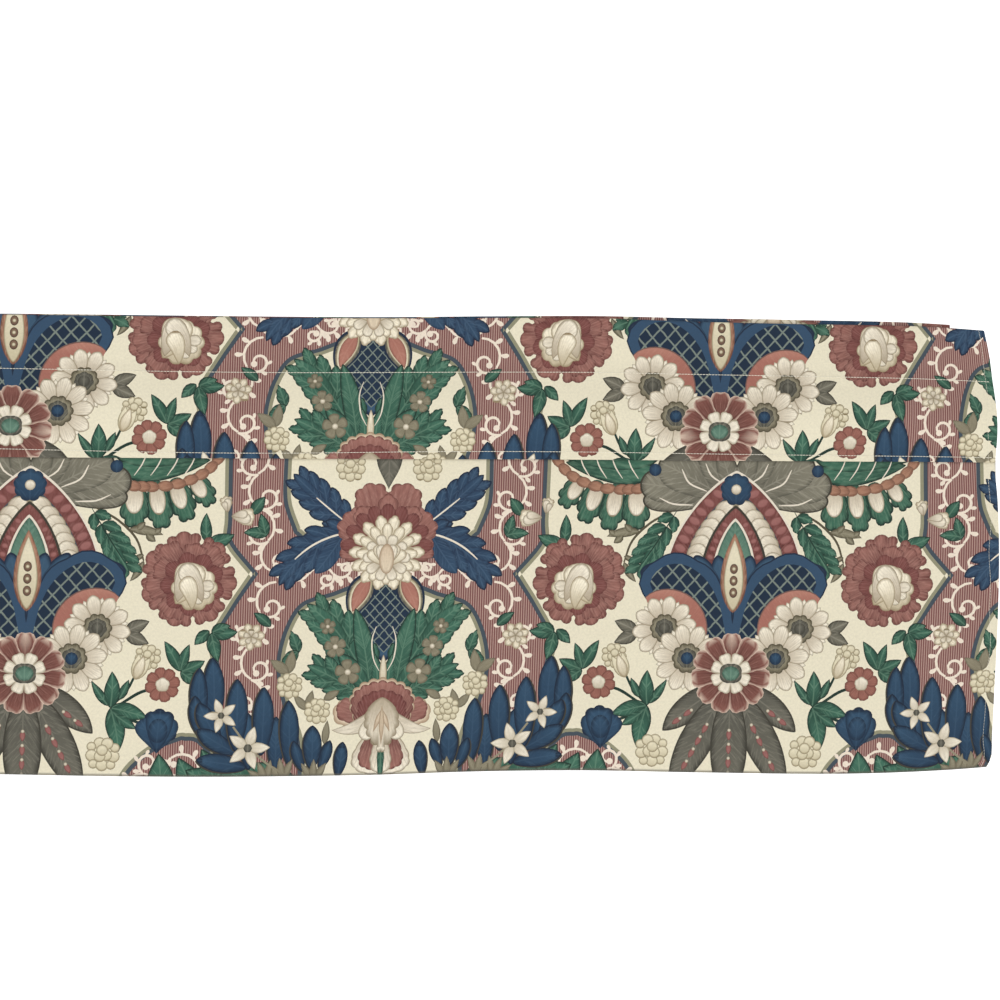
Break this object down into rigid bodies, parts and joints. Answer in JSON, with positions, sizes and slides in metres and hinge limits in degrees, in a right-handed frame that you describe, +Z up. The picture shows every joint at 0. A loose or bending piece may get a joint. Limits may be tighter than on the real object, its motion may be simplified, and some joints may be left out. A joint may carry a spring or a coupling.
{
  "type": "window valance",
  "caption": "Flat rod-pocket window valance of printed cotton, wrapped on itself, with a header, folded once across its width",
  "frame": {"origin": "middle of the top edge of the folded valance, in the plane between its two halves", "axes": "+X along the valance from the crosswise fold to the open ends, +Y from the front half to the rear half, +Z up"},
  "size_m": [1.1396, 0.0185, 0.4603],
  "materials": {
    "printed_cotton": "plain-weave cotton with a slight glaze, printed on cream in burgundy, navy, green, taupe and rose",
    "sewing_thread": "cream sewing thread"
  },
  "bodies": {
    "root": {"valance_cloth": "printed_cotton"}
  },
  "joints": []
}
